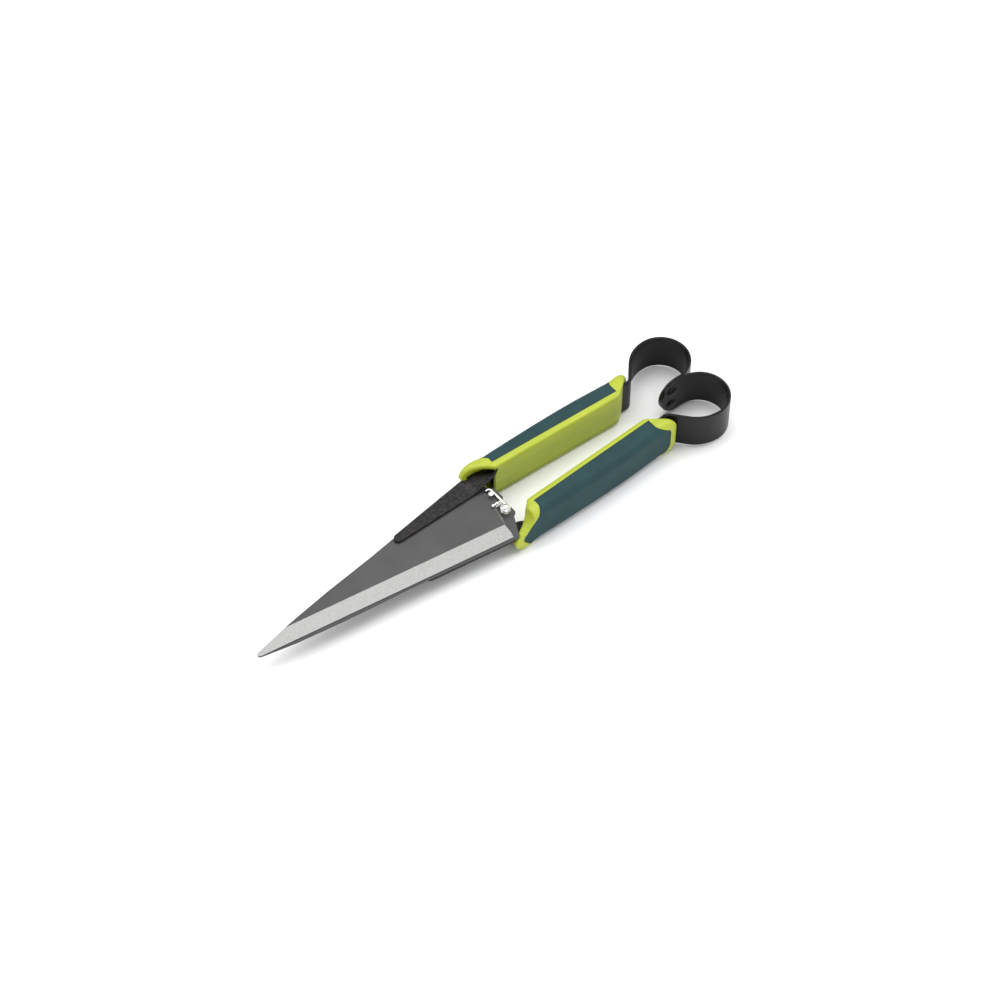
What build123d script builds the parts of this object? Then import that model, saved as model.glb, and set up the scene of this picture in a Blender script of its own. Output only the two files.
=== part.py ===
from build123d import *
import os
from math import asin, cos, degrees, radians, sin, tan

# One-hand grass shears. The upper half is drawn about the plane where the blades meet (Z = 0), with the
# blades pointing along +X and the upper half on the -Y side. The lower half is the same part turned half a
# turn about the X axis. PLACE then sets the tool down with the grips' undersides on Z = 0.

# Spring strip and bow loops
STRIP_T = 1.7
STRIP_W = 25.0
STRIP_PLAY = 0.05
LOOP_R = 17.3
LOOP_X = -132.2
LOOP_Y = -(LOOP_R + STRIP_T / 2 + STRIP_PLAY)
SHOULDER_R = 23.0
SHOULDER_Y = LOOP_Y + SHOULDER_R - LOOP_R
FLEX_ANGLE = 300.0
LEAD_ANGLE = 320.0
NECK_R = 5.0
CUSP_X = -116.0
CUSP_R = 12.0

# Blades
BLADE_T = 2.0
BLADE_GAP = 0.2
TIP_X = 185.0
TIP_R = 1.4
HEEL_CUT = (18.8, 24.9)
BACK_BEND = (93.0, -14.8)
BACK_BULGE = (137.0, -9.3)
HEEL_BACK = (15.5, -26.1)
BEVEL_W = 9.6
BEVEL_LAND = 0.35
HEEL_BEVEL_W = 1.5
HEEL_BEVEL_Y = 5.0
GRIND_RUN_OUT = 3.0

# Heel tab, which carries the catch
TAB_X = 5.6
TAB_SIDE = 0.8
TAB_ROOT_Y = 10.5
TAB_CORNER_R = 1.2
TAB_FRONT_X = 12.9
HEEL_SLOPE = (HEEL_CUT[0] - TAB_FRONT_X) / (HEEL_CUT[1] + TAB_SIDE)

# Arm: the strip inside the grip, then its quarter twist, then the tang that lies on the blade
ARM_REAR = (-104.0, -17.0)
ARM_FRONT = (-8.0, -19.9)
TWIST = [
    # x, turn from upright in degrees, width, middle y, middle z
    (-4.0, 12.0, 24.0, -19.9, 0.6),
    (0.0, 32.0, 21.0, -19.8, 2.2),
    (4.0, 54.0, 17.5, -19.6, 4.4),
    (8.0, 71.0, 15.0, -19.3, 5.6),
    (12.0, 82.0, 13.8, -19.1, 5.2),
    (16.0, 88.0, 13.2, -18.9, 4.0),
]
TANG_START_X = 20.0
TANG_END_X = 76.0
TANG_IN_START = -12.4
TANG_IN_END = -12.2
TANG_OUT_START = -25.3
TANG_OUT_END = -17.4
TANG_END_R = 2.4

# Grip
GRIP_H = 27.6
GRIP_TOP = GRIP_H / 2
GRIP_SIDE = [
    # x, z, corner radius of the grip seen from the side
    (18.8, GRIP_TOP, 8.0),
    (18.8, 4.5, 3.5),
    (6.0, -6.5, 4.0),
    (5.5, -GRIP_TOP, 2.0),
    (-107.5, -GRIP_TOP, 7.0),
    (-107.5, GRIP_TOP, 7.0),
]
GRIP_INNER_FRONT = (0.6, -14.6)
GRIP_MOUTH = [(3.2, -17.2), (7.8, -20.6), (13.5, -23.0)]
GRIP_TIP = (19.0, -24.4)
GRIP_OUTER_FRONT = (19.0, -27.4)
GRIP_OUTER_MID = (-45.0, -28.4)
GRIP_OUTER_REAR = (-103.5, -25.2)
GRIP_TAIL = (-108.0, -24.4)
GRIP_INNER_REAR = (-92.5, -10.9)
GRIP_OUTER_R = 4.5
PANEL_T = 2.4
PANEL_SIDE = [
    # x, z, corner radius of the panel's window seen from the side
    (-7.0, 15.5, 0.5),
    (8.5, 11.5, 6.0),
    (14.0, 4.6, 3.5),
    (-2.5, -15.5, 0.5),
    (-90.0, -15.5, 0.5),
    (-102.5, -8.0, 6.0),
    (-102.5, 8.0, 6.0),
    (-90.0, 15.5, 0.5),
]
SEAM_FRONT = (-4.5, -18.8)
SEAM_REAR = (-94.4, -14.8)
SEAM_TAIL = (-107.0, -25.8)

# Bow rivets
RIVET_X = -123.5
RIVET_PITCH = 11.0
RIVET_R = 1.9
RIVET_HEAD_R = 3.5
RIVET_HEAD_H = 1.5

# Catch: a bent wire that turns on a stud in the lower tab and hooks a keeper in the upper tab
STUD = (10.8, 7.2)
STUD_R = 1.3
STUD_HEAD_R = 3.0
STUD_HEAD_H = 2.0
STUD_TAIL_R = 2.2
STUD_TAIL_H = 0.9
KEEPER = (11.0, -6.0)
KEEPER_R = 1.0
KEEPER_HEAD_R = 1.7
KEEPER_HEAD_H = 0.8
KEEPER_PLAY = 0.2
WIRE_R = 0.75
WIRE_Z = 3.5
WIRE_EYE_PLAY = 0.05
WIRE_HOOK_Y = -10.4
WIRE_HOOK_R = 1.8
WIRE_HOOK_END_X = 12.0
CATCH_PLAY = 0.1
WASHER_R = 2.9
THUMB_Y = 1.0
THUMB_R = 0.6
THUMB_BALL_R = 1.15
THUMB_BALLS_X = (12.3, 15.1)

LOOP_OUTER_R = LOOP_R + STRIP_T / 2
MIDDLE_X = (TIP_X + LOOP_X - LOOP_OUTER_R) / 2
PLACE = Pos(-MIDDLE_X, 0, GRIP_TOP)
TURN = Rot(180, 0, 0)
BLADE_Z = BLADE_GAP / 2
BLADE_TOP = BLADE_Z + BLADE_T


def prism(points, bottom, top):
    """A flat outline in plan, pulled up from bottom to top."""
    return Pos(0, 0, bottom) * extrude(make_face(Polyline(*points, close=True)), top - bottom)


def bar_between(start, end, thickness, height):
    """A straight upright bar that runs in plan from start to end."""
    run = Vector(*end) - Vector(*start)
    middle = (Vector(*end) + Vector(*start)) / 2
    angle = degrees(asin(run.Y / run.length))
    turn = angle if run.X > 0 else 180 - angle
    return Pos(middle.X, middle.Y, 0) * Rot(0, 0, turn) * Box(run.length, thickness, height)


def ring_sector(centre, mid_radius, start_angle, end_angle):
    """A length of strip bent to a round bow, between two angles in degrees measured from +X."""
    outer = Cylinder(mid_radius + STRIP_T / 2, STRIP_W)
    ring = outer - Cylinder(mid_radius - STRIP_T / 2, STRIP_W)
    reach = 3 * mid_radius
    middle = radians((start_angle + end_angle) / 2)
    corners = [(0, 0)]
    corners.append((reach * cos(radians(start_angle)), reach * sin(radians(start_angle))))
    corners.append((reach * cos(middle), reach * sin(middle)))
    corners.append((reach * cos(radians(end_angle)), reach * sin(radians(end_angle))))
    return Pos(*centre, 0) * (ring & prism(corners, -STRIP_W, STRIP_W))


def edge_wedge(start, end, width, thickness, land):
    """What grinding takes off along an edge: the upper side slopes down to a thin land there."""
    along = Vector(*end, 0) - Vector(*start, 0)
    inward = along.cross(Vector(0, 0, 1)).normalized()
    origin = Vector(*start, 0) - along.normalized() * GRIND_RUN_OUT
    plane = Plane(origin=origin, x_dir=inward, z_dir=along.normalized())
    up = 1 if plane.y_dir.Z > 0 else -1
    slope = (thickness - land) / width
    outside = -width / 4
    corners = [
        (width, up * thickness),
        (width, up * 2 * thickness),
        (outside, up * 2 * thickness),
        (outside, up * (land + slope * outside)),
    ]
    face = plane * make_face(Polyline(*corners, close=True))
    return Pos(0, 0, BLADE_Z) * extrude(face, along.length + 2 * GRIND_RUN_OUT, dir=along.normalized())


def blade():
    """Pointed blade with its heel tab. Its long edge at +Y is ground, and so is the heel beside it."""
    tip_cut = (TIP_X - TIP_R, TIP_R)
    tip_back = (TIP_X - TIP_R, -TIP_R)
    tab_front = (TAB_FRONT_X, -TAB_SIDE)
    tab_root = (TAB_X + 2 * TAB_CORNER_R, -TAB_ROOT_Y - TAB_CORNER_R)
    outline = [
        Line(HEEL_CUT, tip_cut),
        ThreePointArc(tip_cut, (TIP_X, 0), tip_back),
        ThreePointArc(tip_back, BACK_BULGE, BACK_BEND),
        Line(BACK_BEND, HEEL_BACK),
        Line(HEEL_BACK, tab_root),
        Line(tab_root, (TAB_X, -TAB_ROOT_Y)),
        Line((TAB_X, -TAB_ROOT_Y), (TAB_X, -TAB_SIDE)),
        Line((TAB_X, -TAB_SIDE), tab_front),
        Line(tab_front, HEEL_CUT),
    ]
    body = Pos(0, 0, BLADE_Z) * extrude(make_face(Wire(outline)), BLADE_T)
    corners = [e for e in body.edges().filter_by(Axis.Z) if abs(e.center().X - TAB_X) < TAB_CORNER_R]
    body = fillet(corners, TAB_CORNER_R)
    ground = edge_wedge(HEEL_CUT, tip_cut, BEVEL_W, BLADE_T, BEVEL_LAND)
    heel_from = (HEEL_CUT[0] - HEEL_SLOPE * (HEEL_CUT[1] - HEEL_BEVEL_Y), HEEL_BEVEL_Y)
    heel = edge_wedge(heel_from, HEEL_CUT, HEEL_BEVEL_W, BLADE_T, BLADE_T / 2)
    return body - ground - heel


def upright_section(x, turn, width, y, z):
    """The strip's rectangular section, square to X, turned about X by the given angle."""
    angle = radians(turn)
    plane = Plane(origin=(x, y, z), x_dir=(0, sin(angle), cos(angle)), z_dir=(1, 0, 0))
    return plane * Rectangle(width, STRIP_T)


def arm():
    """The strip from the grip's rear, through its quarter twist, to the tang along the blade's back."""
    straight = bar_between(ARM_REAR, ARM_FRONT, STRIP_T, STRIP_W)
    tang_z = BLADE_TOP + STRIP_T / 2
    tang_y = (TANG_IN_START + TANG_OUT_START) / 2
    tang_w = TANG_IN_START - TANG_OUT_START
    sections = [upright_section(ARM_FRONT[0], 0, STRIP_W, ARM_FRONT[1], 0)]
    sections += [upright_section(*row) for row in TWIST]
    sections.append(upright_section(TANG_START_X, 90, tang_w, tang_y, tang_z))
    twist = loft(sections)
    outline = [
        (TANG_START_X, TANG_IN_START),
        (TANG_END_X, TANG_IN_END),
        (TANG_END_X, TANG_OUT_END),
        (TANG_START_X, TANG_OUT_START),
    ]
    tang = prism(outline, BLADE_TOP, BLADE_TOP + STRIP_T)
    ends = [e for e in tang.edges().filter_by(Axis.Z) if e.center().X > TANG_END_X - 1]
    return straight + twist + fillet(ends, TANG_END_R)


def neck_corner():
    """Where the arm's line and the lead's line would meet, and the angle between them in degrees."""
    start = shoulder_end()
    arm_slope = (ARM_FRONT[1] - ARM_REAR[1]) / (ARM_FRONT[0] - ARM_REAR[0])
    lead_slope = tan(radians(LEAD_ANGLE - 270))
    x = (ARM_REAR[1] - start[1] + lead_slope * start[0] - arm_slope * ARM_REAR[0]) / (lead_slope - arm_slope)
    corner = (x, ARM_REAR[1] + arm_slope * (x - ARM_REAR[0]))
    return corner, LEAD_ANGLE - 270 - degrees(arm_slope)


def shoulder_end():
    """The end of the loop's wide shoulder, where the straight lead towards the arm begins."""
    angle = radians(LEAD_ANGLE)
    return (LOOP_X + SHOULDER_R * cos(angle), SHOULDER_Y + SHOULDER_R * sin(angle))


def neck():
    """The stretch of strip from the loop's shoulder to the arm. It flexes as the shears open."""
    shoulder = ring_sector((LOOP_X, SHOULDER_Y), SHOULDER_R, FLEX_ANGLE, LEAD_ANGLE)
    corner, turn = neck_corner()
    set_back = NECK_R * tan(radians(turn / 2))
    lead = radians(LEAD_ANGLE - 270)
    lead_end = (corner[0] - set_back * cos(lead), corner[1] - set_back * sin(lead))
    hub = (lead_end[0] + NECK_R * sin(lead), lead_end[1] - NECK_R * cos(lead))
    bend = ring_sector(hub, NECK_R, LEAD_ANGLE - 180 - turn, LEAD_ANGLE - 180)
    bend_end = (corner[0] + set_back, corner[1] + set_back * radians(LEAD_ANGLE - 270 - turn))
    run = bar_between(shoulder_end(), lead_end, STRIP_T, STRIP_W)
    return shoulder + run + bend + bar_between(bend_end, ARM_REAR, STRIP_T, STRIP_W)


def loop():
    """The round bow, and the straight run beside its twin that ends in the rounded cusp."""
    bow = ring_sector((LOOP_X, LOOP_Y), LOOP_R, 90, 180) + ring_sector((LOOP_X, LOOP_Y), LOOP_R, 180, 270)
    bow += ring_sector((LOOP_X, SHOULDER_Y), SHOULDER_R, 270, FLEX_ANGLE)
    length = CUSP_X - LOOP_X
    face = Rectangle(2 * length, STRIP_W)
    corners = face.vertices().filter_by(lambda v: v.X > 0)
    rounded = extrude(Plane.XZ * fillet(corners, CUSP_R), STRIP_T / 2, both=True)
    ahead = Pos(length, 0, 0) * Box(2 * length, STRIP_W, STRIP_W)
    run = Pos(LOOP_X, LOOP_Y + LOOP_R, 0) * (rounded & ahead)
    return bow + run - rivet_holes()


def rivet_holes():
    """The holes for the two rivets through both strips."""
    holes = [Pos(RIVET_X, 0, z) * Rot(90, 0, 0) * Cylinder(RIVET_R, 4 * STRIP_T) for z in rivet_heights()]
    return holes[0] + holes[1]


def rivet_heights():
    return (RIVET_PITCH / 2, -RIVET_PITCH / 2)


def bow_rivet(z):
    """A rivet with a domed head on each side of the two strips."""
    grip = 2 * (STRIP_T - LOOP_Y - LOOP_R - STRIP_T / 2)
    ball_r = (RIVET_HEAD_R**2 + RIVET_HEAD_H**2) / (2 * RIVET_HEAD_H)
    cap = Sphere(ball_r) & Pos(0, 0, ball_r) * Box(4 * ball_r, 4 * ball_r, 2 * RIVET_HEAD_H)
    head = Pos(0, 0, grip / 2 + RIVET_HEAD_H - ball_r) * cap
    body = Cylinder(RIVET_R, grip) + head + Rot(180, 0, 0) * head
    return Pos(RIVET_X, 0, z) * Rot(90, 0, 0) * body


def side_block(rows):
    """A rounded outline seen from the side, given as x, z and corner radius, pulled across the grip."""
    face = Plane.XZ * make_face(Polyline(*[(x, z) for x, z, _ in rows], close=True))
    block = extrude(face, 2 * STRIP_W, both=True)
    for x, z, radius in rows:
        corner = block.edges().filter_by(Axis.Y).sort_by_distance((x, 0, z))[0]
        block = fillet(corner, radius)
    return block


def grip_plan(inset):
    """The grip seen from above. An inset moves its outer side in, for the shell below the soft panel."""
    tip = (GRIP_TIP[0], GRIP_TIP[1])
    outer = [(p[0], p[1] + inset) for p in (GRIP_OUTER_FRONT, GRIP_OUTER_MID, GRIP_OUTER_REAR)]
    mouth = Spline(GRIP_INNER_FRONT, *GRIP_MOUTH, tip)
    lines = [mouth, Line(tip, outer[0]), ThreePointArc(*outer)]
    lines.append(Line(outer[2], GRIP_TAIL))
    lines.append(Line(GRIP_TAIL, GRIP_INNER_REAR))
    lines.append(Line(GRIP_INNER_REAR, GRIP_INNER_FRONT))
    return make_face(Wire(lines))


def grip():
    """The whole outside of the grip, before it is parted into shell and panel."""
    body = extrude(grip_plan(0), GRIP_TOP, both=True)
    outer = [e for e in body.edges() if e.center().Y < GRIP_OUTER_REAR[1] and e.length > GRIP_H]
    body = fillet(outer, GRIP_OUTER_R)
    return body & side_block(GRIP_SIDE)


def panel():
    """The soft panel, let into the shell over its outer side and lapping on to its top and underside."""
    far = -2 * STRIP_W
    beyond_seam = [
        (TIP_X, SEAM_FRONT[1]),
        SEAM_FRONT,
        SEAM_REAR,
        SEAM_TAIL,
        (SEAM_TAIL[0], far),
        (TIP_X, far),
    ]
    window = prism(beyond_seam, -GRIP_H, GRIP_H) & side_block(PANEL_SIDE)
    core = extrude(grip_plan(PANEL_T), GRIP_TOP - PANEL_T, both=True)
    return (grip() & window) - core


def catch_wire():
    """The wire: an eye round the stud, a straight leg, and a short hook behind the keeper."""
    eye_r = STUD_R + WIRE_EYE_PLAY + WIRE_R
    leg_x = STUD[0] - eye_r
    eye = Pos(*STUD, WIRE_Z) * Torus(eye_r, WIRE_R)
    bend_y = WIRE_HOOK_Y + WIRE_HOOK_R
    leg_end = (leg_x, bend_y, WIRE_Z)
    hook_start = (leg_x + WIRE_HOOK_R, WIRE_HOOK_Y, WIRE_Z)
    turn = (leg_x + WIRE_HOOK_R * (1 - cos(radians(45))), WIRE_HOOK_Y + WIRE_HOOK_R * (1 - cos(radians(45))))
    path = Wire([
        Line((leg_x, STUD[1], WIRE_Z), leg_end),
        ThreePointArc(leg_end, (*turn, WIRE_Z), hook_start),
        Line(hook_start, (WIRE_HOOK_END_X, WIRE_HOOK_Y, WIRE_Z)),
    ])
    section = Plane(origin=(leg_x, STUD[1], WIRE_Z), z_dir=(0, -1, 0)) * Circle(WIRE_R)
    bore = Pos(*STUD, WIRE_Z) * Cylinder(STUD_R + WIRE_EYE_PLAY, 4 * WIRE_R)
    return eye + sweep(section, path) - bore - catch_thumb_bar()


def catch_thumb_bar():
    """The small cross-bar on the wire, with two balls on it, that a thumb pushes to free the hook."""
    leg_x = STUD[0] - STUD_R - WIRE_EYE_PLAY - WIRE_R
    length = THUMB_BALLS_X[1] - leg_x
    bar = Pos(0, 0, length / 2) * Cylinder(THUMB_R, length)
    for x in THUMB_BALLS_X:
        bar += Pos(0, 0, x - leg_x) * Sphere(THUMB_BALL_R)
    return Pos(leg_x, THUMB_Y, WIRE_Z) * Rot(0, 90, 0) * bar


def catch_stud():
    """The dome-headed stud, riveted through the lower tab, on which the wire turns."""
    head_z = WIRE_Z + WIRE_R + CATCH_PLAY
    tail_z = -BLADE_TOP - STUD_TAIL_H
    shank = Pos(0, 0, (tail_z + head_z) / 2) * Cylinder(STUD_R, head_z - tail_z)
    ball_r = (STUD_HEAD_R**2 + STUD_HEAD_H**2) / (2 * STUD_HEAD_H)
    above = Pos(0, 0, ball_r) * Box(3 * STUD_HEAD_R, 3 * STUD_HEAD_R, 2 * ball_r)
    cap = Pos(0, 0, STUD_HEAD_H - ball_r) * Sphere(ball_r) & above
    tail = Pos(0, 0, tail_z + STUD_TAIL_H / 2) * Cylinder(STUD_TAIL_R, STUD_TAIL_H)
    return Pos(*STUD, 0) * (shank + Pos(0, 0, head_z) * cap + tail)


def catch_washer():
    """The spacing washer that lifts the wire clear of the upper tab."""
    top = WIRE_Z - WIRE_R - CATCH_PLAY
    bottom = -BLADE_Z
    tube = Cylinder(WASHER_R, top - bottom) - Cylinder(STUD_R, top - bottom)
    return Pos(*STUD, (top + bottom) / 2) * tube


def catch_keeper():
    """The headed pin in the upper tab that the hook draws against."""
    head_z = WIRE_Z + WIRE_R + KEEPER_PLAY
    shank = Pos(0, 0, (BLADE_Z + head_z) / 2) * Cylinder(KEEPER_R, head_z - BLADE_Z)
    head = Pos(0, 0, head_z + KEEPER_HEAD_H / 2) * Cylinder(KEEPER_HEAD_R, KEEPER_HEAD_H)
    return Pos(*KEEPER, 0) * (shank + head)


def save(name, solid):
    """Sets a piece in its place and writes it out under its own name."""
    export_step(PLACE * solid, f"parts/{name}.step")


os.makedirs("parts", exist_ok=True)

half_arm = arm()
half_neck = neck() - half_arm
half_loop = loop()
half_blade = blade()
half_panel = panel() - half_arm - half_neck
half_shell = grip() - half_panel - half_arm - half_neck - half_blade
keeper_hole = Pos(*KEEPER, BLADE_Z) * Cylinder(KEEPER_R, 4 * BLADE_T)
stud_hole = Pos(*STUD, -BLADE_Z) * Cylinder(STUD_R, 4 * BLADE_T)

save("upper_blade", half_blade - keeper_hole)
save("lower_blade", TURN * half_blade - stud_hole)
for half, turn in (("upper", Pos(0, 0, 0)), ("lower", TURN)):
    save(f"{half}_arm", turn * half_arm)
    save(f"{half}_neck", turn * half_neck)
    save(f"{half}_loop", turn * half_loop)
    save(f"{half}_grip_shell", turn * half_shell)
    save(f"{half}_grip_panel", turn * half_panel)
for name, height in zip(("bow_rivet_top", "bow_rivet_bottom"), rivet_heights()):
    save(name, bow_rivet(height))
save("catch_wire", catch_wire())
save("catch_thumb_bar", catch_thumb_bar())
save("catch_stud", catch_stud())
save("catch_washer", catch_washer())
save("catch_keeper", catch_keeper())
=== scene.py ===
from math import asin, atan2, cos, degrees, pi, radians, sin, sqrt, tan

import bmesh
import bpy
import numpy as np
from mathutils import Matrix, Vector


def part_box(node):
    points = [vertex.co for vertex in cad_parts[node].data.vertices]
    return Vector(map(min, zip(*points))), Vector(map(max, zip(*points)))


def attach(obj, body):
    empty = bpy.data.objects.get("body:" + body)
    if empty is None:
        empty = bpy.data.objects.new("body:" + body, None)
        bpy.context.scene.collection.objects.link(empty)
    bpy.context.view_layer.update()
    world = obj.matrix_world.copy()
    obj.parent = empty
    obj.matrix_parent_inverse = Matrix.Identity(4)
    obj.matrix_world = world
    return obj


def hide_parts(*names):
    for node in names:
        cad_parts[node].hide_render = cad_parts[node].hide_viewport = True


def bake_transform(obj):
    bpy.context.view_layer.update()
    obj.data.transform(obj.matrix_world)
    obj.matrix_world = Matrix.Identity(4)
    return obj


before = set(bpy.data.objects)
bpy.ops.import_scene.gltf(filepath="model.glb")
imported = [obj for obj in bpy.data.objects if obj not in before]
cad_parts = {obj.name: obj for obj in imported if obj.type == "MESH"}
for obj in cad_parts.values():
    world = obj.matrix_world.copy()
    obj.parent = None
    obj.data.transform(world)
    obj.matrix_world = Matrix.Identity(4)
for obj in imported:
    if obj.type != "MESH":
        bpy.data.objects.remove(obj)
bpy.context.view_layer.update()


# ---- The two spring strips ---------------------------------------------------------------------------
# Each half of the shears hangs on one length of flat spring steel, forged and painted black. Behind the
# hand it is wound into a round bow. In front of the grip it is twisted a quarter turn and flattened into
# a tang, which is welded to the blade.
MM = 0.001
BLADE_REACH = 185.0
heel_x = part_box("upper_blade")[1][0] - BLADE_REACH * MM
pinch_z = (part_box("upper_blade")[0][2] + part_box("lower_blade")[1][2]) / 2


def in_frame(points, half="upper"):
    """Millimetres from the heel line become metres in the frame. The lower half is the upper half turned
    half a turn about the tool's length."""
    turned = np.array(points, float).reshape(-1, 3) * MM
    if half == "lower":
        turned[:, 1:] *= -1
    return turned + (heel_x, 0, pinch_z)


def from_frame(node):
    """A CAD node's lowest and highest corner, in millimetres from the heel line."""
    return [(corner - Vector((heel_x, 0, pinch_z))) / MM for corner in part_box(node)]


def piece(name, points, faces, finishes, half="upper", crease=40):
    """A mesh object at the origin, smooth except at edges sharper than crease degrees."""
    mesh = bpy.data.meshes.new(name)
    mesh.from_pydata(in_frame(points, half).tolist(), [], faces)
    work = bmesh.new()
    work.from_mesh(mesh)
    bmesh.ops.remove_doubles(work, verts=work.verts, dist=0.000001)
    bmesh.ops.recalc_face_normals(work, faces=work.faces)
    work.to_mesh(mesh)
    work.free()
    mesh.shade_smooth()
    mesh.set_sharp_from_angle(angle=radians(crease))
    for finish in finishes:
        mesh.materials.append(finish)
    made = bpy.data.objects.new(name, mesh)
    bpy.context.scene.collection.objects.link(made)
    return made


def skin(rings):
    """Points and faces of a closed skin over equal rings of points in a row."""
    size = len(rings[0])
    points = [p for ring in rings for p in ring]
    faces = []
    for r in range(len(rings) - 1):
        a, b = r * size, (r + 1) * size
        faces += [(a + k, a + (k + 1) % size, b + (k + 1) % size, b + k) for k in range(size)]
    faces.append(tuple(range(size)))
    faces.append(tuple(range(len(points) - size, len(points))))
    return points, faces


def rounded_box(low, high, radii, steps=4):
    """A flat rectangle from low to high with its corners rounded, anticlockwise from the lower right.
    A point just before and after each round keeps the flats flat under smooth shading."""
    half = [(high[0] - low[0]) / 2, (high[1] - low[1]) / 2]
    middle = [(high[0] + low[0]) / 2, (high[1] + low[1]) / 2]
    outline = []
    for (sx, sy, start), radius in zip([(1, -1, -90), (1, 1, 0), (-1, 1, 90), (-1, -1, 180)], radii):
        radius = min(radius, half[0] * 0.9, half[1] * 0.9)
        hub = (middle[0] + sx * (half[0] - radius), middle[1] + sy * (half[1] - radius))
        ease = radius * 0.1
        arc = [radians(start + 90 * k / steps) for k in range(steps + 1)]
        outline.append((hub[0] + radius * cos(arc[0]) + ease * sin(arc[0]),
                        hub[1] + radius * sin(arc[0]) - ease * cos(arc[0])))
        outline += [(hub[0] + radius * cos(a), hub[1] + radius * sin(a)) for a in arc]
        outline.append((hub[0] + radius * cos(arc[-1]) - ease * sin(arc[-1]),
                        hub[1] + radius * sin(arc[-1]) + ease * cos(arc[-1])))
    return outline


def smooth_rows(rows, parts):
    """The given rows with more between them, on a curve that goes through each."""
    table = np.array(rows, float)
    padded = np.vstack([2 * table[0] - table[1], table, 2 * table[-1] - table[-2]])
    out = []
    for a, b, c, d in zip(padded, padded[1:], padded[2:], padded[3:]):
        for t in np.arange(parts) / parts:
            bend = (2 * a - 5 * b + 4 * c - d) * t**2 + (3 * b - a - 3 * c + d) * t**3
            out.append((2 * b + (c - a) * t + bend) / 2)
    return np.array(out + [table[-1]]).tolist()


class Value:
    """One socket of a material's tree. Arithmetic on it adds Math nodes."""

    def __init__(self, finish, socket):
        self.finish = finish
        self.socket = socket

    def math(self, operation, a, b):
        return self.finish.node("ShaderNodeMath", {"operation": operation}, {0: a, 1: b})

    def __add__(self, other):
        return self.math("ADD", self, other)

    def __sub__(self, other):
        return self.math("SUBTRACT", self, other)

    def __mul__(self, other):
        return self.math("MULTIPLY", self, other)

    def __truediv__(self, other):
        return self.math("DIVIDE", self, other)

    def __pow__(self, other):
        return self.math("POWER", self, other)

    def __radd__(self, other):
        return self.math("ADD", other, self)

    def __rsub__(self, other):
        return self.math("SUBTRACT", other, self)

    def __rmul__(self, other):
        return self.math("MULTIPLY", other, self)

    def step(self, low, high):
        """0 below low, 1 above high, smooth between."""
        settings = {"interpolation_type": "SMOOTHSTEP"}
        limits = {"Value": self, "From Min": low, "From Max": high}
        return self.finish.node("ShaderNodeMapRange", settings, limits)


class Finish:
    """A material under its name, with one Principled surface whose constants are given as keywords."""

    def __init__(self, name, **constants):
        self.material = bpy.data.materials.new(name)
        self.material.use_nodes = True
        self.tree = self.material.node_tree
        self.surface = self.tree.nodes["Principled BSDF"]
        for socket, value in constants.items():
            self.surface.inputs[socket.replace("_", " ").title().replace("Ior", "IOR")].default_value = value

    def node(self, kind, settings=None, inputs=None, output=0):
        """Any node: its settings are set first, then its sockets' values or links. Returns one output."""
        made = self.tree.nodes.new(kind)
        for name, value in (settings or {}).items():
            if name == "stops":
                ramp = made.color_ramp
                for place, colour in value[2:]:
                    ramp.elements.new(place)
                for element, (place, colour) in zip(ramp.elements, sorted(value)):
                    element.position = place
                    element.color = (*colour, 1)
            else:
                setattr(made, name, value)
        for socket, value in (inputs or {}).items():
            if isinstance(value, Value):
                self.tree.links.new(value.socket, made.inputs[socket])
            else:
                made.inputs[socket].default_value = value
        return Value(self, made.outputs[output])

    def place(self, stretch=(1, 1, 1), turn=0.0):
        """Where a point is on the piece, stretched along the axes and turned about Z."""
        here = self.node("ShaderNodeTexCoord", output="Object")
        inputs = {"Vector": here, "Scale": stretch, "Rotation": (0, 0, turn)}
        return self.node("ShaderNodeMapping", None, inputs)

    def noise(self, size, detail=2.0, stretch=(1, 1, 1), turn=0.0, roughness=0.5):
        """Cloudy noise from 0 to 1. size is its grain in millimetres."""
        inputs = {"Vector": self.place(stretch, turn), "Scale": 1 / (size * MM)}
        inputs.update({"Detail": detail, "Roughness": roughness})
        return self.node("ShaderNodeTexNoise", None, inputs)

    def blend(self, amount, a, b):
        """Colour a where amount is 0 and b where it is 1."""
        return self.node("ShaderNodeMix", {"data_type": "RGBA"}, {0: amount, 6: rgba(a), 7: rgba(b)}, output=2)

    def relief(self, height, depth):
        """A bump of the given depth in millimetres."""
        bump = self.node("ShaderNodeBump", None, {"Strength": 1.0, "Distance": depth * MM, "Height": height})
        return self.paint(Normal=bump)

    def paint(self, **links):
        """Links values into the surface's sockets."""
        for socket, value in links.items():
            self.tree.links.new(value.socket, self.surface.inputs[socket.replace("_", " ")])
        return self.material


def rgba(colour):
    return colour if isinstance(colour, Value) else (*colour, 1.0)


def black_paint():
    """Stoved black paint on forged steel: glossy, a little wavy, duller and browner on the forged tang."""
    paint = Finish("black_paint", ior=1.5, specular_ior_level=0.18, coat_weight=0.06, coat_roughness=0.12)
    waves = paint.noise(3.2, detail=3.0)
    scale = paint.noise(0.9, detail=4.0, stretch=(0.5, 1, 1))
    along = paint.node("ShaderNodeSeparateXYZ", None, {0: paint.node("ShaderNodeTexCoord", output="Object")})
    forged = along.step(heel_x - 2 * MM, heel_x + 10 * MM)
    mottled = paint.blend(paint.noise(2.2, detail=4.0).step(0.35, 0.7), FORGED_DARK, FORGED_LIGHT)
    paint.paint(Base_Color=paint.blend(forged, BLACK, mottled))
    paint.paint(Roughness=0.3 + 0.1 * waves + forged * (0.12 + 0.1 * scale))
    return paint.relief(waves * 0.7 + forged * scale * 0.8, 0.06)


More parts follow.
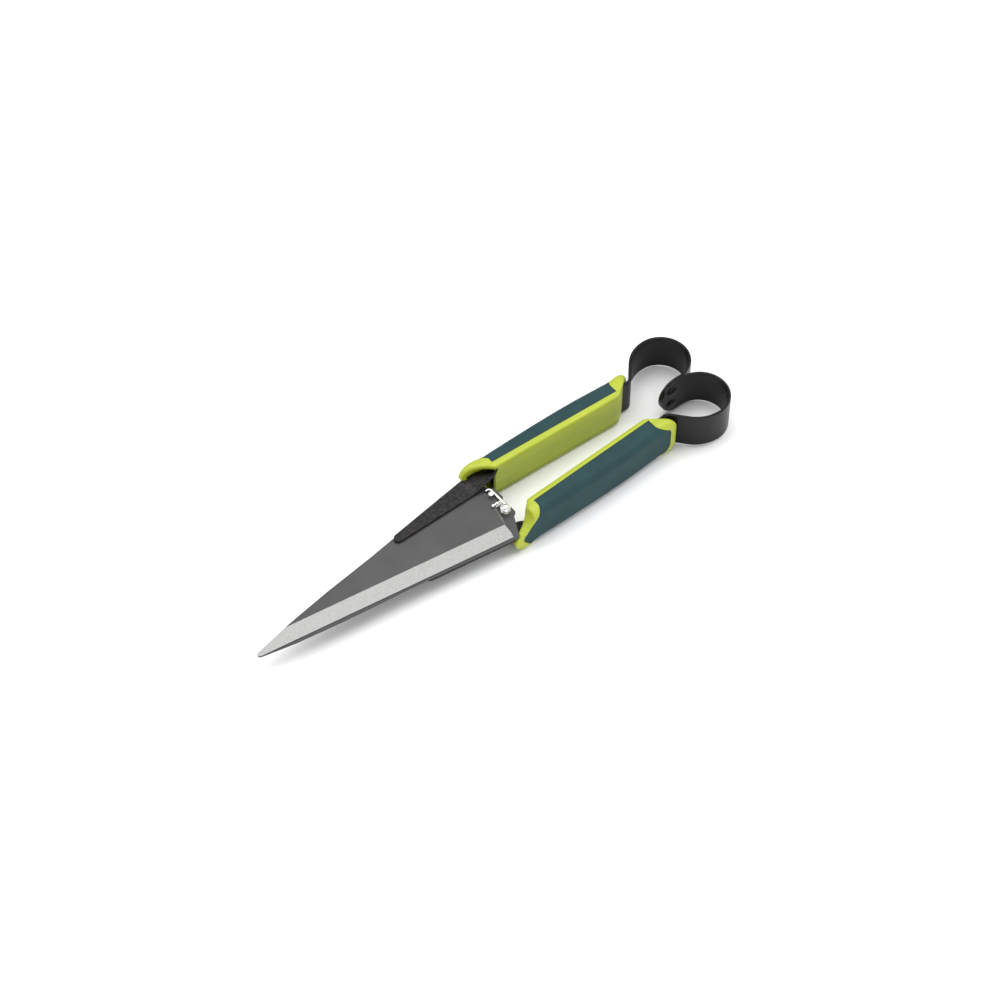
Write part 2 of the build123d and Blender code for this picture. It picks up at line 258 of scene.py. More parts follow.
BLACK = (0.006, 0.006, 0.007)
FORGED_DARK = (0.011, 0.010, 0.011)
FORGED_LIGHT = (0.028, 0.025, 0.026)
STRIP_T = 1.7
STRIP_W = 25.0
STRIP_EDGE_R = 0.45
CUSP_R = 12.0
SHOULDER_R = 23.0
LEAD_ANGLE = 320.0
NECK_R = 5.0
loop_low, loop_high = from_frame("upper_loop")
cusp_x = loop_high[0]
loop_r = (loop_high[1] - loop_low[1] - STRIP_T) / 2
loop_x = loop_low[0] + loop_r + STRIP_T / 2
loop_y = loop_low[1] + loop_r + STRIP_T / 2
ARM_REAR = (-104.0, -17.0)
ARM_FRONT = (-8.0, -19.9)
TWIST = [
    # x, turn from upright in degrees, width, middle y, middle z
    (-8.0, 0.0, 25.0, -19.9, 0.0),
    (-4.0, 12.0, 24.0, -19.9, 0.6),
    (0.0, 32.0, 21.0, -19.8, 2.2),
    (4.0, 54.0, 17.5, -19.6, 4.4),
    (8.0, 71.0, 15.0, -19.3, 5.6),
    (12.0, 82.0, 13.8, -19.1, 5.2),
    (16.0, 88.0, 13.2, -18.9, 4.0),
    (20.0, 90.0, 12.9, -18.85, 3.25),
]
TANG_END_X = 76.0
TANG_END = (-12.2, -17.4)
END_ANGLES = (0, 15, 30, 45, 58, 70, 79, 85)


def strip_stations():
    """Along the strip from the bow's cusp to the tang's end: middle, width axis, thickness axis, width."""
    upright = Vector((0, 0, 1))
    stations = []
    for lead in (0.0, 0.12, 0.35, 0.8, 1.5, 2.5, 3.8, 5.4, 7.2, 9.3, CUSP_R):
        width = STRIP_W - 2 * (CUSP_R - sqrt(CUSP_R**2 - (CUSP_R - lead) ** 2))
        stations.append((Vector((cusp_x - lead, loop_y + loop_r, 0)), upright, Vector((0, 1, 0)), width))
    shoulder_y = loop_y + SHOULDER_R - loop_r
    bow = [(loop_y, loop_r, a) for a in np.linspace(90, 270, 56).tolist()]
    bow += [(shoulder_y, SHOULDER_R, a) for a in np.linspace(270, LEAD_ANGLE, 16).tolist()[1:]]
    for hub_y, radius, angle in bow:
        out = Vector((cos(radians(angle)), sin(radians(angle)), 0))
        stations.append((Vector((loop_x, hub_y, 0)) + radius * out, upright, out, STRIP_W))
    arm_slope = (ARM_FRONT[1] - ARM_REAR[1]) / (ARM_FRONT[0] - ARM_REAR[0])
    lead_slope = tan(radians(LEAD_ANGLE - 270))
    start = stations[-1][0]
    rise = ARM_REAR[1] - start.y + lead_slope * start.x - arm_slope * ARM_REAR[0]
    corner_x = rise / (lead_slope - arm_slope)
    corner = Vector((corner_x, start.y + lead_slope * (corner_x - start.x), 0))
    turn = LEAD_ANGLE - 270 - degrees(atan2(arm_slope, 1))
    lead_end = corner + (start - corner).normalized() * NECK_R * tan(radians(turn / 2))
    out = stations[-1][2]
    stations += [(start.lerp(lead_end, t), upright, out, STRIP_W) for t in (0.33, 0.66, 0.95)]
    hub = lead_end + out * NECK_R
    for angle in np.linspace(LEAD_ANGLE - 180, LEAD_ANGLE - 180 - turn, 12).tolist():
        out = Vector((cos(radians(angle)), sin(radians(angle)), 0))
        stations.append((hub + NECK_R * out, upright, -out, STRIP_W))
    for t in np.linspace(0, 1, 12).tolist():
        middle = Vector((*ARM_REAR, 0)).lerp(Vector((*ARM_FRONT, 0)), t)
        stations.append((middle, upright, Vector((0, -1, 0)), STRIP_W))
    for x, turn, width, y, z in smooth_rows(TWIST, 6)[1:]:
        a = radians(turn)
        stations.append((Vector((x, y, z)), Vector((0, sin(a), cos(a))), Vector((0, -cos(a), sin(a))), width))
    x, _, width, y, z = TWIST[-1]
    edges = (y + width / 2, y - width / 2)
    end_r = (TANG_END[0] - TANG_END[1]) / 2
    ahead = np.linspace(x + 5, TANG_END_X - end_r - 5, 8).tolist()
    ahead += [TANG_END_X - end_r * (1 - sin(radians(a))) for a in END_ANGLES]
    for at in ahead:
        t = (at - x) / (TANG_END_X - x)
        inner, outer = (edges[k] + (TANG_END[k] - edges[k]) * t for k in (0, 1))
        into_end = max(0.0, at - TANG_END_X + end_r) / end_r
        rounding = sqrt(1 - into_end**2)
        middle = Vector((at, (inner + outer) / 2, z))
        stations.append((middle, Vector((0, 1, 0)), Vector((0, 0, 1)), (inner - outer) * rounding))
    return stations


def strip_rings():
    rings = []
    for middle, across, through, width in strip_stations():
        outline = rounded_box((-width / 2, -STRIP_T / 2), (width / 2, STRIP_T / 2), [STRIP_EDGE_R] * 4)
        rings.append([middle + u * across + v * through for u, v in outline])
    return rings


BEND_START = (-131.0, -4.0, 0.0)
BEND_END = (-122.0, -27.5, 0.0)
strip_paint = black_paint()
for half in ("upper", "lower"):
    strip = piece(f"{half}_spring_strip", *skin(strip_rings()), [strip_paint], half)
    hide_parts(f"{half}_loop", f"{half}_neck", f"{half}_arm")
    start, end = in_frame([BEND_START, BEND_END], half)
    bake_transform(strip)


# ---- Bow rivets --------------------------------------------------------------------------------------
# Two steel rivets, one above the other, hold the two strips back to back at the cusp. Their heads are
# set hot, so the domes are low, and they are painted black with the strips.
class Growth:
    """A Geometry Nodes tree with named sizes, which ends in Realize Instances and Set Material."""

    def __init__(self, name, **sizes):
        self.tree = bpy.data.node_groups.new(name, "GeometryNodeTree")
        self.sizes = sizes
        self.tree.interface.new_socket("Geometry", in_out="INPUT", socket_type="NodeSocketGeometry")
        self.sockets = {}
        for size in sizes:
            socket = self.tree.interface.new_socket(size, in_out="INPUT", socket_type="NodeSocketFloat")
            self.sockets[size] = socket
        self.tree.interface.new_socket("Geometry", in_out="OUTPUT", socket_type="NodeSocketGeometry")
        self.start = self.tree.nodes.new("NodeGroupInput")

    def node(self, kind, settings=None, inputs=None, output=0):
        """Any node: its settings first, then its sockets' values or links. Returns one output."""
        made = self.tree.nodes.new(kind)
        for name, value in (settings or {}).items():
            setattr(made, name, value)
        for socket, value in (inputs or {}).items():
            if isinstance(value, bpy.types.NodeSocket):
                self.tree.links.new(value, made.inputs[socket])
            else:
                made.inputs[socket].default_value = value
        return made.outputs[output]

    def size(self, name):
        return self.start.outputs[name]

    def grow(self, name, seeds, finish, result):
        """Grows result from a mesh of seed points and edges, as one plain mesh object."""
        end = self.tree.nodes.new("NodeGroupOutput")
        real = self.node("GeometryNodeRealizeInstances", None, {"Geometry": result})
        painted = self.node("GeometryNodeSetMaterial", None, {"Geometry": real, "Material": finish})
        self.tree.links.new(painted, end.inputs[0])
        mesh = bpy.data.meshes.new(name + "_seeds")
        mesh.from_pydata(*seeds)
        made = bpy.data.objects.new(name, mesh)
        bpy.context.scene.collection.objects.link(made)
        growth = made.modifiers.new("growth", "NODES")
        growth.node_group = self.tree
        for size, value in self.sizes.items():
            growth[self.sockets[size].identifier] = value
        return settled(made)


def settled(made):
    """Turns an object's modifiers into its own plain mesh."""
    bpy.context.view_layer.update()
    evaluated = made.evaluated_get(bpy.context.evaluated_depsgraph_get())
    made.data = bpy.data.meshes.new_from_object(evaluated)
    made.modifiers.clear()
    made.data.shade_smooth()
    made.data.set_sharp_from_angle(angle=radians(40))
    return made


RIVET_HEAD_R = 3.5
RIVET_HEAD_H = 1.5
rivets = [from_frame(name) for name in ("bow_rivet_top", "bow_rivet_bottom")]
feet = []
for low, high in rivets:
    for side in (low[1] + RIVET_HEAD_H, high[1] - RIVET_HEAD_H):
        feet.append(((low[0] + high[0]) / 2, side, (low[2] + high[2]) / 2))
riveting = Growth("rivet_heads", Radius=RIVET_HEAD_R * MM, Flatness=RIVET_HEAD_H / RIVET_HEAD_R)
globe = {"Segments": 40, "Rings": 24, "Radius": riveting.size("Radius")}
ball = riveting.node("GeometryNodeMeshUVSphere", None, globe)
squeeze = riveting.node("ShaderNodeCombineXYZ", None, {"X": 1.0, "Y": riveting.size("Flatness"), "Z": 1.0})
dome = riveting.node("GeometryNodeTransform", None, {"Geometry": ball, "Scale": squeeze})
points = riveting.node("GeometryNodeMeshToPoints", None, {"Mesh": riveting.start.outputs[0]})
heads = riveting.node("GeometryNodeInstanceOnPoints", None, {"Points": points, "Instance": dome})
bow_rivets = riveting.grow("bow_rivet_heads", (in_frame(feet).tolist(), [], []), strip_paint, heads)
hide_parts("bow_rivet_top", "bow_rivet_bottom")
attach(bow_rivets, "bow")


# ---- Blades ------------------------------------------------------------------------------------------
# Each blade is stamped from steel sheet and coated dark grey. Its long edge and its heel are then ground
# bright on the wheel. A tab at the heel carries the catch. Its edges are broken with a stone.
def blade_coating():
    """Thin satin dark-grey coating over steel, with faint rolling marks along the blade."""
    coat = Finish("blade_coating", metallic=0.35, ior=1.5)
    cloud = coat.noise(26.0, detail=2.0)
    grain = coat.noise(0.7, detail=3.0, stretch=(0.06, 1, 1))
    coat.paint(Base_Color=coat.blend(cloud.step(0.3, 0.7), (0.050, 0.050, 0.051), (0.062, 0.062, 0.063)))
    coat.paint(Roughness=0.4 + 0.08 * grain + 0.06 * cloud)
    return coat.relief(grain, 0.012)


def ground_steel():
    """Bright steel from the grinding wheel: short scratches square to the edge, and fine pits."""
    steel = Finish("ground_steel", metallic=0.9)
    scratches = steel.noise(0.32, detail=4.0, stretch=(1, 0.12, 1), turn=0.14)
    pits = steel.noise(0.5, detail=2.0).step(0.62, 0.72)
    shine = steel.blend(scratches.step(0.3, 0.7), (0.25, 0.248, 0.243), (0.33, 0.327, 0.322))
    steel.paint(Base_Color=steel.blend(pits * 0.5, shine, (0.18, 0.176, 0.172)))
    steel.paint(Roughness=0.46 + 0.14 * scratches)
    return steel.relief(scratches - pits * 0.5, 0.012)


GROUND_LEAST_TILT = 3.0
GROUND_MOST_TILT = 50.0
EDGE_BREAK = 0.14
coated, ground = blade_coating(), ground_steel()
for half, up in (("upper", 1), ("lower", -1)):
    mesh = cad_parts[f"{half}_blade"].data.copy()
    mesh.materials.clear()
    mesh.materials.append(coated)
    mesh.materials.append(ground)
    work = bmesh.new()
    work.from_mesh(mesh)
    bmesh.ops.remove_doubles(work, verts=work.verts, dist=0.00001)
    bmesh.ops.dissolve_limit(work, angle_limit=radians(1), verts=work.verts, edges=work.edges)
    work.normal_update()
    for face in work.faces:
        tilt = degrees(face.normal.angle((0, 0, up), 0))
        face.material_index = int(GROUND_LEAST_TILT < tilt < GROUND_MOST_TILT)
    work.to_mesh(mesh)
    work.free()
    blade = bpy.data.objects.new(f"{half}_ground_blade", mesh)
    bpy.context.scene.collection.objects.link(blade)
    bevel = blade.modifiers.new("broken_edges", "BEVEL")
    bevel.width = EDGE_BREAK * MM
    bevel.segments = 2
    bevel.limit_method = "ANGLE"
    bevel.angle_limit = radians(25)
    settled(blade)
    blade.data.shade_smooth()
    blade.data.set_sharp_from_angle(angle=radians(GROUND_LEAST_TILT * 2))
    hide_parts(f"{half}_blade")
    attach(blade, f"{half}_half")


# ---- Grips -------------------------------------------------------------------------------------------
# Each grip is moulded round the strip in two shots: a lime shell of hard plastic, and a dark teal panel
# of soft rubber that fills a window over the shell's outer side and laps on to its top and underside.
# The shell's front is an open mouth round the twisted strip.
GRIP_TOP = 13.8
GRIP_SIDE = [
    # x, z, corner radius of the grip seen from the side
    (18.8, GRIP_TOP, 8.0), (18.8, 4.5, 3.5), (6.0, -6.5, 12.0),
    (5.5, -GRIP_TOP, 1.8), (-107.5, -GRIP_TOP, 7.0), (-107.5, GRIP_TOP, 7.0),
]
WINDOW_SIDE = [
    # x, z, corner radius of the window for the soft panel
    (-7.0, 15.5, 0.5), (8.5, 11.5, 6.0), (14.0, 4.6, 3.5), (-2.5, -15.5, 0.5),
    (-90.0, -15.5, 0.5), (-102.5, -8.0, 6.0), (-102.5, 8.0, 6.0), (-90.0, 15.5, 0.5),
]
INNER = [(-108.0, -23.6), (-107.0, -22.0), (-92.5, -10.9)]
MOUTH = [(0.6, -14.6), (3.2, -17.2), (7.8, -20.6), (13.5, -23.0), (19.0, -24.4)]
OUTER = [
    (-108.0, -24.2), (-103.5, -25.3), (-86.0, -26.7), (-66.0, -27.9),
    (-45.0, -28.4), (-22.0, -28.4), (0.0, -28.1), (19.0, -27.4),
]
INNER_CORNER_R = 1.5
INNER_LOW_R = 3.2
OUTER_CORNER_R = 6.0
FAR_SIDE = -60.0
LEAST_STEP = 0.05
CREASE = 32
SEAM = [(-94.4, -14.8), (-4.5, -18.8)]
SEAM_TAIL = (-107.0, -25.8)
WALL = 2.6
MOUTH_REAR = -12.0
MOUTH_NEAR = -16.4
MOUTH_FAR = -24.6
MOUTH_LIP = (0.6, 8.0)
PANEL_T = 1.6
PANEL_SINK = 0.15
SEAM_GAP = 0.12
PARTING_Z = -10.4
PARTING_DEPTH = 0.9
PARTING_SPREAD = 1.2
PARTING_ENDS = [(-92.0, -10.92), (1.6, -14.64)]


def side_outline(rows, grow=0.0):
    """A polygon seen from the side with its corners rounded, as points (x, z), grown outwards by grow."""
    corners = [Vector(row[:2]) for row in rows]
    outline = []
    for k, (_, _, radius) in enumerate(rows):
        before = (corners[k - 1] - corners[k]).normalized()
        after = (corners[(k + 1) % len(rows)] - corners[k]).normalized()
        outward = 1 if before.x * after.y - before.y * after.x > 0 else -1
        inward = (before + after).normalized()
        spread = sin(before.angle(after) / 2)
        rounding = max(radius + outward * grow, 0.05)
        hub = corners[k] + inward * (rounding - outward * grow) / spread
        first = before.orthogonal() * (1 if before.orthogonal().dot(inward) < 0 else -1)
        last = after.orthogonal() * (1 if after.orthogonal().dot(inward) < 0 else -1)
        turn = first.angle(last)
        for step in range(9):
            t = step / 8
            spoke = (first * sin((1 - t) * turn) + last * sin(t * turn)) / sin(turn)
            outline.append(tuple(hub + spoke * rounding))
    return np.array(outline + outline[:1])


def heights(outline, x):
    """The lowest and highest z of an outline at x."""
    found = []
    for (x0, z0), (x1, z1) in zip(outline, outline[1:]):
        if min(x0, x1) <= x <= max(x0, x1) and x0 != x1:
            found.append(z0 + (z1 - z0) * (x - x0) / (x1 - x0))
    return min(found), max(found)


inner_line = np.array([tuple(row) for row in INNER] + [tuple(row) for row in smooth_rows(MOUTH, 8)])
outer_line = np.array(smooth_rows(OUTER, 8))


def grip_rings(inset=0.0, reach=0.0):
    """Sections of the grip square to the tool's length. An inset draws the skin in by that much, and a reach
    carries the side that faces the other grip out past itself."""
    outline = side_outline(GRIP_SIDE, -inset)
    ends = (outline[:, 0].min() + 0.02, outline[:, 0].max() - 0.02)
    stations = sorted(np.clip(np.concatenate([np.linspace(*ends, 64), outline[:, 0]]), *ends).tolist())
    rings = []
    for x in [x for k, x in enumerate(stations) if k == 0 or x - stations[k - 1] > LEAST_STEP]:
        low, high = heights(outline, x)
        near = float(np.interp(x, inner_line[:, 0], inner_line[:, 1])) + (reach or -inset)
        far = float(np.interp(x, outer_line[:, 0], outer_line[:, 1])) + inset
        inner_radii = [LEAST_STEP * 4, LEAST_STEP * 4] if reach else [INNER_LOW_R, INNER_CORNER_R]
        radii = inner_radii + [OUTER_CORNER_R - inset] * 2
        span = rounded_box((far, low), (max(near, far + 0.4), high), radii, 8)
        rings.append([Vector((x, y, z)) for y, z in span])
    return rings


def window(grow):
    """The solid that the panel's window is cut with: all beyond the seam, within its rounded outline."""
    side = side_outline(WINDOW_SIDE, grow)[:-1].tolist()
    (x_rear, y_rear), (x_front, y_front) = SEAM
    slope = (y_front - y_rear) / (x_front - x_rear)
    near = [(x, y_rear + slope * (x - x_rear) + grow, z) for x, z in side]
    return skin([near, [(x, FAR_SIDE, z) for x, z in side]])


def tail_margin(grow):
    """The part of that window that is left closed, so that the grip's slanted tail stays lime."""
    (x0, y0), (x1, y1) = SEAM[0], SEAM_TAIL
    dx, dy = (x0 - x1) / 2, (y0 - y1) / 2
    plan = [(x0 + dx - grow, y0 + dy), (x1 - dx - grow, y1 - dy)]
    plan += [(x1 - STRIP_W, y1 - dy), (x1 - STRIP_W, y0 + dy)]
    return skin([[(x, y, z) for x, y in plan] for z in (-STRIP_W, STRIP_W)])


def mouth_hollow():
    """The solid that the mouth is cut with. It follows the grip's outline a wall's thickness inside it."""
    side = [(x, z) for x, z in side_outline(GRIP_SIDE, -WALL)[:-1].tolist() if x > MOUTH_REAR]
    side += [(MOUTH_REAR, WALL - GRIP_TOP), (MOUTH_REAR, GRIP_TOP - WALL)]
    return skin([[(x, MOUTH_NEAR, z) for x, z in side], [(x, MOUTH_FAR, z) for x, z in side]])


def block(low, high):
    """A plain box to cut with."""
    (x0, y0, z0), (x1, y1, z1) = low, high
    return skin([[(x, y0, z0), (x, y1, z0), (x, y1, z1), (x, y0, z1)] for x in (x0, x1)])


def carved(solid, *cuts):
    """Applies (operation, solid) cuts one after another, and removes the cutters."""
    for operation, cutter in cuts:
        cut = solid.modifiers.new("cut", "BOOLEAN")
        cut.operation = operation
        cut.solver = "MANIFOLD"
        cut.object = cutter
        settled(solid)
        bpy.data.objects.remove(cutter)
    solid.data.shade_smooth()
    solid.data.set_sharp_from_angle(angle=radians(CREASE))
    return solid


def lime_plastic():
    """Hard lime plastic with a satin skin: faint flow marks along the mould and a fine spark texture."""
    lime = Finish("lime_plastic", ior=1.46, coat_weight=0.1, coat_roughness=0.3)
    flow = lime.noise(9.0, detail=2.0, stretch=(0.15, 1, 1))
    streak = lime.noise(1.6, detail=2.0, stretch=(0.02, 1, 1))
    spark = lime.noise(0.45, detail=2.0)
    shade = 0.5 * flow.step(0.3, 0.7) + 0.5 * streak.step(0.35, 0.65)
    lime.paint(Base_Color=lime.blend(shade, (0.325, 0.385, 0.020), (0.410, 0.470, 0.030)))
    lime.paint(Roughness=0.4 + 0.08 * flow + 0.06 * spark)
    return lime.relief(spark, 0.03)


def teal_rubber():
    """Soft dark teal rubber: matt, a little chalky, with a fine even grain."""
    rubber = Finish("teal_rubber", ior=1.45, specular_ior_level=0.3)
    cloud = rubber.noise(14.0, detail=3.0)
    grain = rubber.noise(0.4, detail=2.0)
    rubber.paint(Base_Color=rubber.blend(cloud.step(0.3, 0.75), (0.011, 0.040, 0.044), (0.015, 0.050, 0.054)))
    rubber.paint(Roughness=0.58 + 0.12 * grain)
    return rubber.relief(grain, 0.05)


lime, teal = lime_plastic(), teal_rubber()
for half in ("upper", "lower"):
    shell = piece(f"{half}_lime_shell", *skin(grip_rings()), [lime], half)
    pocket = piece("pocket", *window(SEAM_GAP), [lime], half)
    core = piece("core", *skin(grip_rings(PANEL_T + SEAM_GAP, reach=WALL)), [lime], half)
    mouth = piece("mouth", *mouth_hollow(), [lime], half)
    lip_box = block((MOUTH_LIP[0], MOUTH_NEAR - 1, WALL - GRIP_TOP), (MOUTH_LIP[1], 0, GRIP_TOP - WALL))
    lip = piece("lip", *lip_box, [lime], half)
    notch = []
    for x, y in PARTING_ENDS:
        beyond = [(x, y + 1, PARTING_Z - PARTING_SPREAD), (x, y + 1, PARTING_Z + PARTING_SPREAD)]
        notch.append([(x, y - PARTING_DEPTH, PARTING_Z)] + beyond)
    parting = piece("parting", *skin(notch), [lime], half)
    kept = piece("kept", *tail_margin(SEAM_GAP), [lime], half)
    carved(pocket, ("DIFFERENCE", core), ("DIFFERENCE", kept))
    carved(shell, ("DIFFERENCE", mouth), ("DIFFERENCE", lip), ("DIFFERENCE", parting), ("DIFFERENCE", pocket))
    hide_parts(f"{half}_grip_shell")
    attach(shell, f"{half}_half")
    panel = piece(f"{half}_teal_panel", *skin(grip_rings(PANEL_SINK)), [teal], half)
    opening = piece("opening", *window(-SEAM_GAP), [teal], half)
    hollow = piece("hollow", *skin(grip_rings(PANEL_T, reach=WALL)), [teal], half)
    kept = piece("kept", *tail_margin(-SEAM_GAP), [teal], half)
    carved(panel, ("INTERSECT", opening), ("DIFFERENCE", hollow), ("DIFFERENCE", kept))
    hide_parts(f"{half}_grip_panel")
    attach(panel, f"{half}_half")


# ---- Catch -------------------------------------------------------------------------------------------
# The catch holds the blades shut. A nickel-plated wire turns on a domed stud in the lower blade's tab and
# hooks behind a headed pin in the upper tab. A small bar with two balls, pressed on to the wire, is there
# for the thumb. The stud and the pin are turned on a lathe and riveted over below.
def nickel():
    """Bright nickel plate with a soft polish."""
    plate = Finish("nickel_plate", metallic=1.0)
    polish = plate.noise(1.1, detail=3.0)
    plate.paint(Base_Color=plate.blend(polish.step(0.3, 0.7), (0.78, 0.77, 0.74), (0.88, 0.87, 0.85)))
    plate.paint(Roughness=0.34 + 0.06 * polish)
    return plate.relief(polish, 0.002)


AXIS_GAP = 0.01


def turned(profile, origin, steps=48):
    """A solid of revolution about an upright axis, from a profile of (radius, height)."""
    angles = np.arange(steps) * 2 * pi / steps
    rings = []
    for radius, z in profile:
        r = max(radius, AXIS_GAP)
        rings.append([(origin[0] + r * cos(a), origin[1] + r * sin(a), z) for a in angles])
    return skin(rings)


def rounded_shoulder(radius, height, ease, upward=True):
    """A quarter round between a side and a flat, for a turned profile."""
    turn = [radians(a) for a in (0, 22, 45, 68, 90)]
    way = 1 if upward else -1
    arc = [(radius - ease + ease * cos(a), height - way * (ease - ease * sin(a))) for a in turn]
    return arc if upward else arc[::-1]


bright = nickel()
wire_low, wire_high = from_frame("catch_wire")
bar_low, bar_high = from_frame("catch_thumb_bar")
stud_low, stud_high = from_frame("catch_stud")
washer_low, washer_high = from_frame("catch_washer")
keeper_low, keeper_high = from_frame("catch_keeper")
WIRE_R = 0.75
STUD_R = 1.3
STUD_HEAD_H = 2.0
STUD_RIM_H = 0.45
STUD_TAIL_R = 2.2
stud_x, stud_y = ((stud_low + stud_high) / 2)[:2]
stud_head_r = (stud_high[0] - stud_low[0]) / 2
head_z = stud_high[2] - STUD_HEAD_H
dome_r = stud_head_r - 0.35
ball_r = (dome_r**2 + (STUD_HEAD_H - STUD_RIM_H) ** 2) / (2 * (STUD_HEAD_H - STUD_RIM_H))
dome = []
for a in np.linspace(asin(dome_r / ball_r), 0, 14).tolist():
    dome.append((ball_r * sin(a), stud_high[2] - ball_r + ball_r * cos(a)))
profile = [(0.0, stud_low[2]), (STUD_TAIL_R * 0.6, stud_low[2] + 0.05), (STUD_TAIL_R * 0.9, stud_low[2] + 0.3)]
profile += [(STUD_TAIL_R, stud_low[2] + 0.6), (STUD_TAIL_R, stud_low[2] + 0.9)]
profile += [(STUD_R, stud_low[2] + 0.9), (STUD_R, head_z)]
profile += [(stud_head_r - 0.15, head_z), (stud_head_r, head_z + 0.12)]
profile += [(stud_head_r, head_z + STUD_RIM_H - 0.12), (stud_head_r - 0.12, head_z + STUD_RIM_H)]
stud = piece("catch_domed_stud", *turned(profile + dome, (stud_x, stud_y)), [bright], crease=30)
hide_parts("catch_stud")
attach(stud, "lower_half")

washer_r = (washer_high[0] - washer_low[0]) / 2
profile = [(STUD_R, washer_low[2])] + rounded_shoulder(washer_r, washer_low[2], 0.25, upward=False)
profile += rounded_shoulder(washer_r, washer_high[2], 0.25) + [(STUD_R, washer_high[2])]
washer = piece("catch_spacing_washer", *turned(profile, (stud_x, stud_y)), [bright], crease=30)
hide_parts("catch_washer")
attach(washer, "lower_half")

KEEPER_R = 1.0
KEEPER_HEAD_H = 0.8
keeper_x, keeper_y = ((keeper_low + keeper_high) / 2)[:2]
keeper_head_r = (keeper_high[0] - keeper_low[0]) / 2
under_head = keeper_high[2] - KEEPER_HEAD_H
profile = [(0.0, keeper_low[2]), (KEEPER_R, keeper_low[2]), (KEEPER_R, under_head)]
profile += [(keeper_head_r - 0.1, under_head), (keeper_head_r, under_head + 0.1)]
profile += rounded_shoulder(keeper_head_r, keeper_high[2], 0.5) + [(0.0, keeper_high[2])]
keeper = piece("catch_keeper_pin", *turned(profile, (keeper_x, keeper_y), 32), [bright], crease=30)
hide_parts("catch_keeper")
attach(keeper, "upper_half")

WIRE_HOOK_R = 1.8
wire_z = (wire_low[2] + wire_high[2]) / 2
leg_x = wire_low[0] + WIRE_R
eye_r = stud_x - leg_x
hook_y = wire_low[1] + WIRE_R
hook_end = 12.0 - 0.2
route = []
for a in range(-150, 181, 10):
    route.append((stud_x + eye_r * cos(radians(a)), stud_y + eye_r * sin(radians(a)), wire_z))
route += [(leg_x, y, wire_z) for y in np.linspace(stud_y - 1, hook_y + WIRE_HOOK_R + 0.5, 8)]
turn_arc = [radians(a) for a in range(180, 271, 10)]
route += [(leg_x + WIRE_HOOK_R * (1 + cos(a)), hook_y + WIRE_HOOK_R * (1 + sin(a)), wire_z) for a in turn_arc]
route += [(hook_end, hook_y, wire_z)]


def bent_wire(name, route, radius):
    """Round wire along a route of points, with its ends closed, grown by Geometry Nodes."""
    bending = Growth(name + "_bending", Radius=radius * MM)
    curve = bending.node("GeometryNodeMeshToCurve", None, {"Mesh": bending.start.outputs[0]})
    circle = {"Resolution": 20, "Radius": bending.size("Radius")}
    section = bending.node("GeometryNodeCurvePrimitiveCircle", None, circle)
    swept = {"Curve": curve, "Profile Curve": section, "Fill Caps": True}
    wire = bending.node("GeometryNodeCurveToMesh", None, swept)
    edges = [(k, k + 1) for k in range(len(route) - 1)]
    return bending.grow(name, (in_frame(route).tolist(), edges, []), bright, wire)


wire = bent_wire("catch_bent_wire", route, WIRE_R)
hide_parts("catch_wire")
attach(wire, "catch")

BALL_R = 1.15
BAR_R = 0.6
thumb_y = (bar_low[1] + bar_high[1]) / 2
balls = [bar_high[0] - BALL_R, bar_high[0] - BALL_R - 2.8]
pressing = Growth("thumb_bar", Bar=BAR_R * MM, Ball=BALL_R * MM)
curve = pressing.node("GeometryNodeMeshToCurve", None, {"Mesh": pressing.start.outputs[0]})
circle = {"Resolution": 20, "Radius": pressing.size("Bar")}
section = pressing.node("GeometryNodeCurvePrimitiveCircle", None, circle)
swept = {"Curve": curve, "Profile Curve": section, "Fill Caps": True}
bar = pressing.node("GeometryNodeCurveToMesh", None, swept)
globe = {"Segments": 28, "Rings": 18, "Radius": pressing.size("Ball")}
beads = pressing.node("GeometryNodeMeshUVSphere", None, globe)
spots = pressing.node("GeometryNodeMeshToPoints", None, {"Mesh": pressing.start.outputs[0]})
index = pressing.node("GeometryNodeInputIndex")
past = {"data_type": "INT", "operation": "GREATER_THAN"}
beyond = pressing.node("FunctionNodeCompare", past, {2: index, 3: 0})
seats = {"Points": spots, "Selection": beyond, "Instance": beads}
seated = pressing.node("GeometryNodeInstanceOnPoints", None, seats)
both = pressing.node("GeometryNodeJoinGeometry")
pressing.tree.links.new(bar, both.node.inputs[0])
pressing.tree.links.new(seated, both.node.inputs[0])
stops = in_frame([(x, thumb_y, wire_z) for x in (leg_x, balls[1], balls[0])]).tolist()
thumb_bar = pressing.grow("catch_thumb_bar_with_balls", (stops, [(0, 1), (1, 2)], []), bright, both)
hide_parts("catch_thumb_bar")
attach(thumb_bar, "catch")


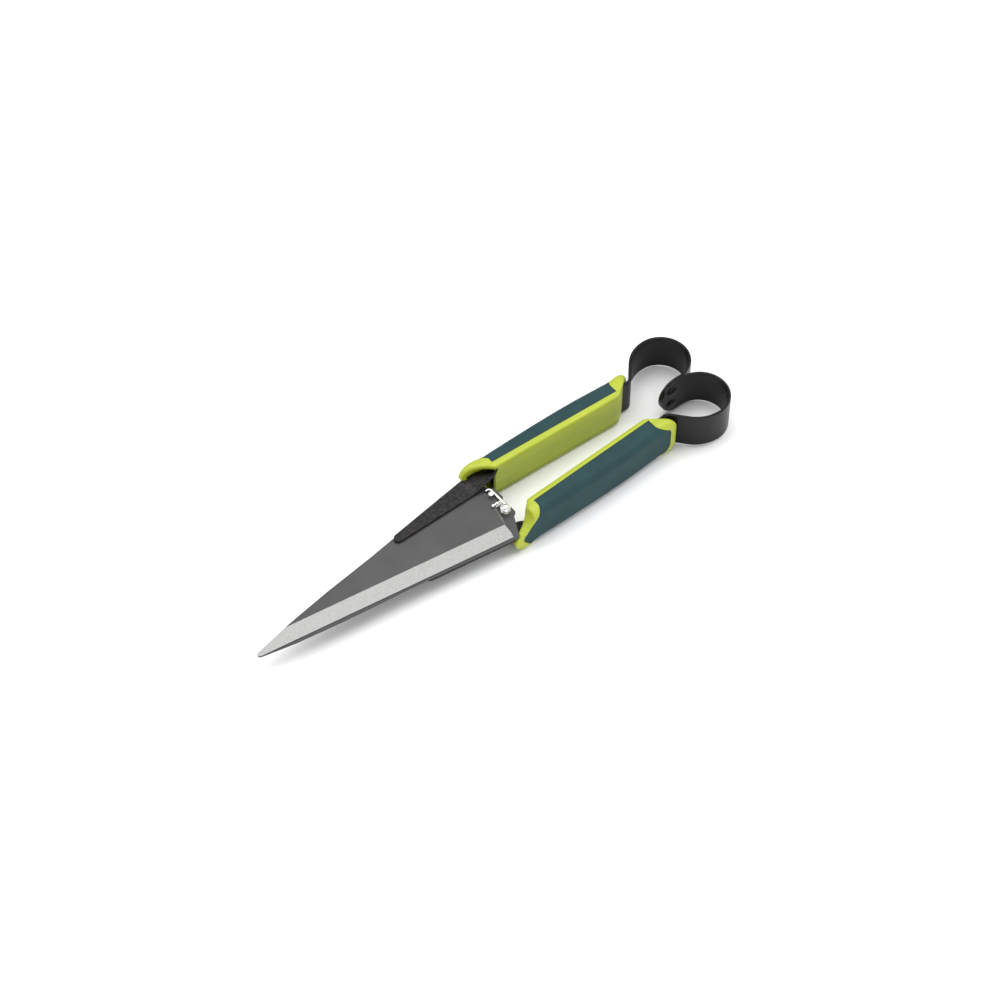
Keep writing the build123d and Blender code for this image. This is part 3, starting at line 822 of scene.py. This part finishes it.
# ---- Studio ------------------------------------------------------------------------------------------
# The shears lie on a plain white sweep under large soft lights, seen from above and in front of them.
def sweep_white():
    """Matt white card."""
    card = Finish("white_card", specular_ior_level=0.1)
    card.paint(Roughness=0.9 + 0.05 * card.noise(4.0))
    card.surface.inputs["Base Color"].default_value = (0.90, 0.90, 0.90, 1)
    return card.material


floor_mesh = bpy.data.meshes.new("floor")
FLOOR_HALF = 4.0
floor_points = [(x, y, -0.0002) for x, y in ((-1, -1), (1, -1), (1, 1), (-1, 1))]
floor_mesh.from_pydata([(x * FLOOR_HALF, y * FLOOR_HALF, z) for x, y, z in floor_points], [], [(0, 1, 2, 3)])
floor_mesh.materials.append(sweep_white())
floor = bpy.data.objects.new("floor", floor_mesh)
bpy.context.scene.collection.objects.link(floor)


def soft_light(name, place, size, power, aim=(0, 0, 0)):
    """A square soft light that shines from its place towards aim."""
    lamp = bpy.data.lights.new(name, "AREA")
    lamp.size = size
    lamp.energy = power
    stand = bpy.data.objects.new(name, lamp)
    stand.location = place
    stand.rotation_euler = (Vector(aim) - Vector(place)).to_track_quat("-Z", "Y").to_euler()
    bpy.context.scene.collection.objects.link(stand)


soft_light("overhead", (-0.2, -0.3, 1.6), 1.2, 20.0)
soft_light("front_left", (1.2, -0.8, 1.1), 0.8, 12.0)
soft_light("rear", (-1.2, 0.3, 1.0), 0.7, 8.0)
soft_light("near_side", (0.2, 1.6, 0.5), 1.0, 11.0)
world = bpy.data.worlds.new("studio")
bpy.context.scene.world = world
world.use_nodes = True
world.node_tree.nodes["Background"].inputs["Color"].default_value = (0.97, 0.98, 1.0, 1)
world.node_tree.nodes["Background"].inputs["Strength"].default_value = 0.45

CAMERA_PLACE = (648.7, 790.9, 1287.1)
CAMERA_AIM = (7.4, -6.8, 0.0)
lens = bpy.data.cameras.new("camera")
lens.sensor_width = 36.0
lens.lens = 101.0
lens.clip_end = 50.0
camera = bpy.data.objects.new("camera", lens)
place, aim = (Vector(p) for p in in_frame([CAMERA_PLACE, CAMERA_AIM]).tolist())
camera.location = place
camera.rotation_euler = (aim - place).to_track_quat("-Z", "Y").to_euler()
bpy.context.scene.collection.objects.link(camera)
bpy.context.scene.camera = camera
bpy.context.scene.view_settings.view_transform = "Standard"
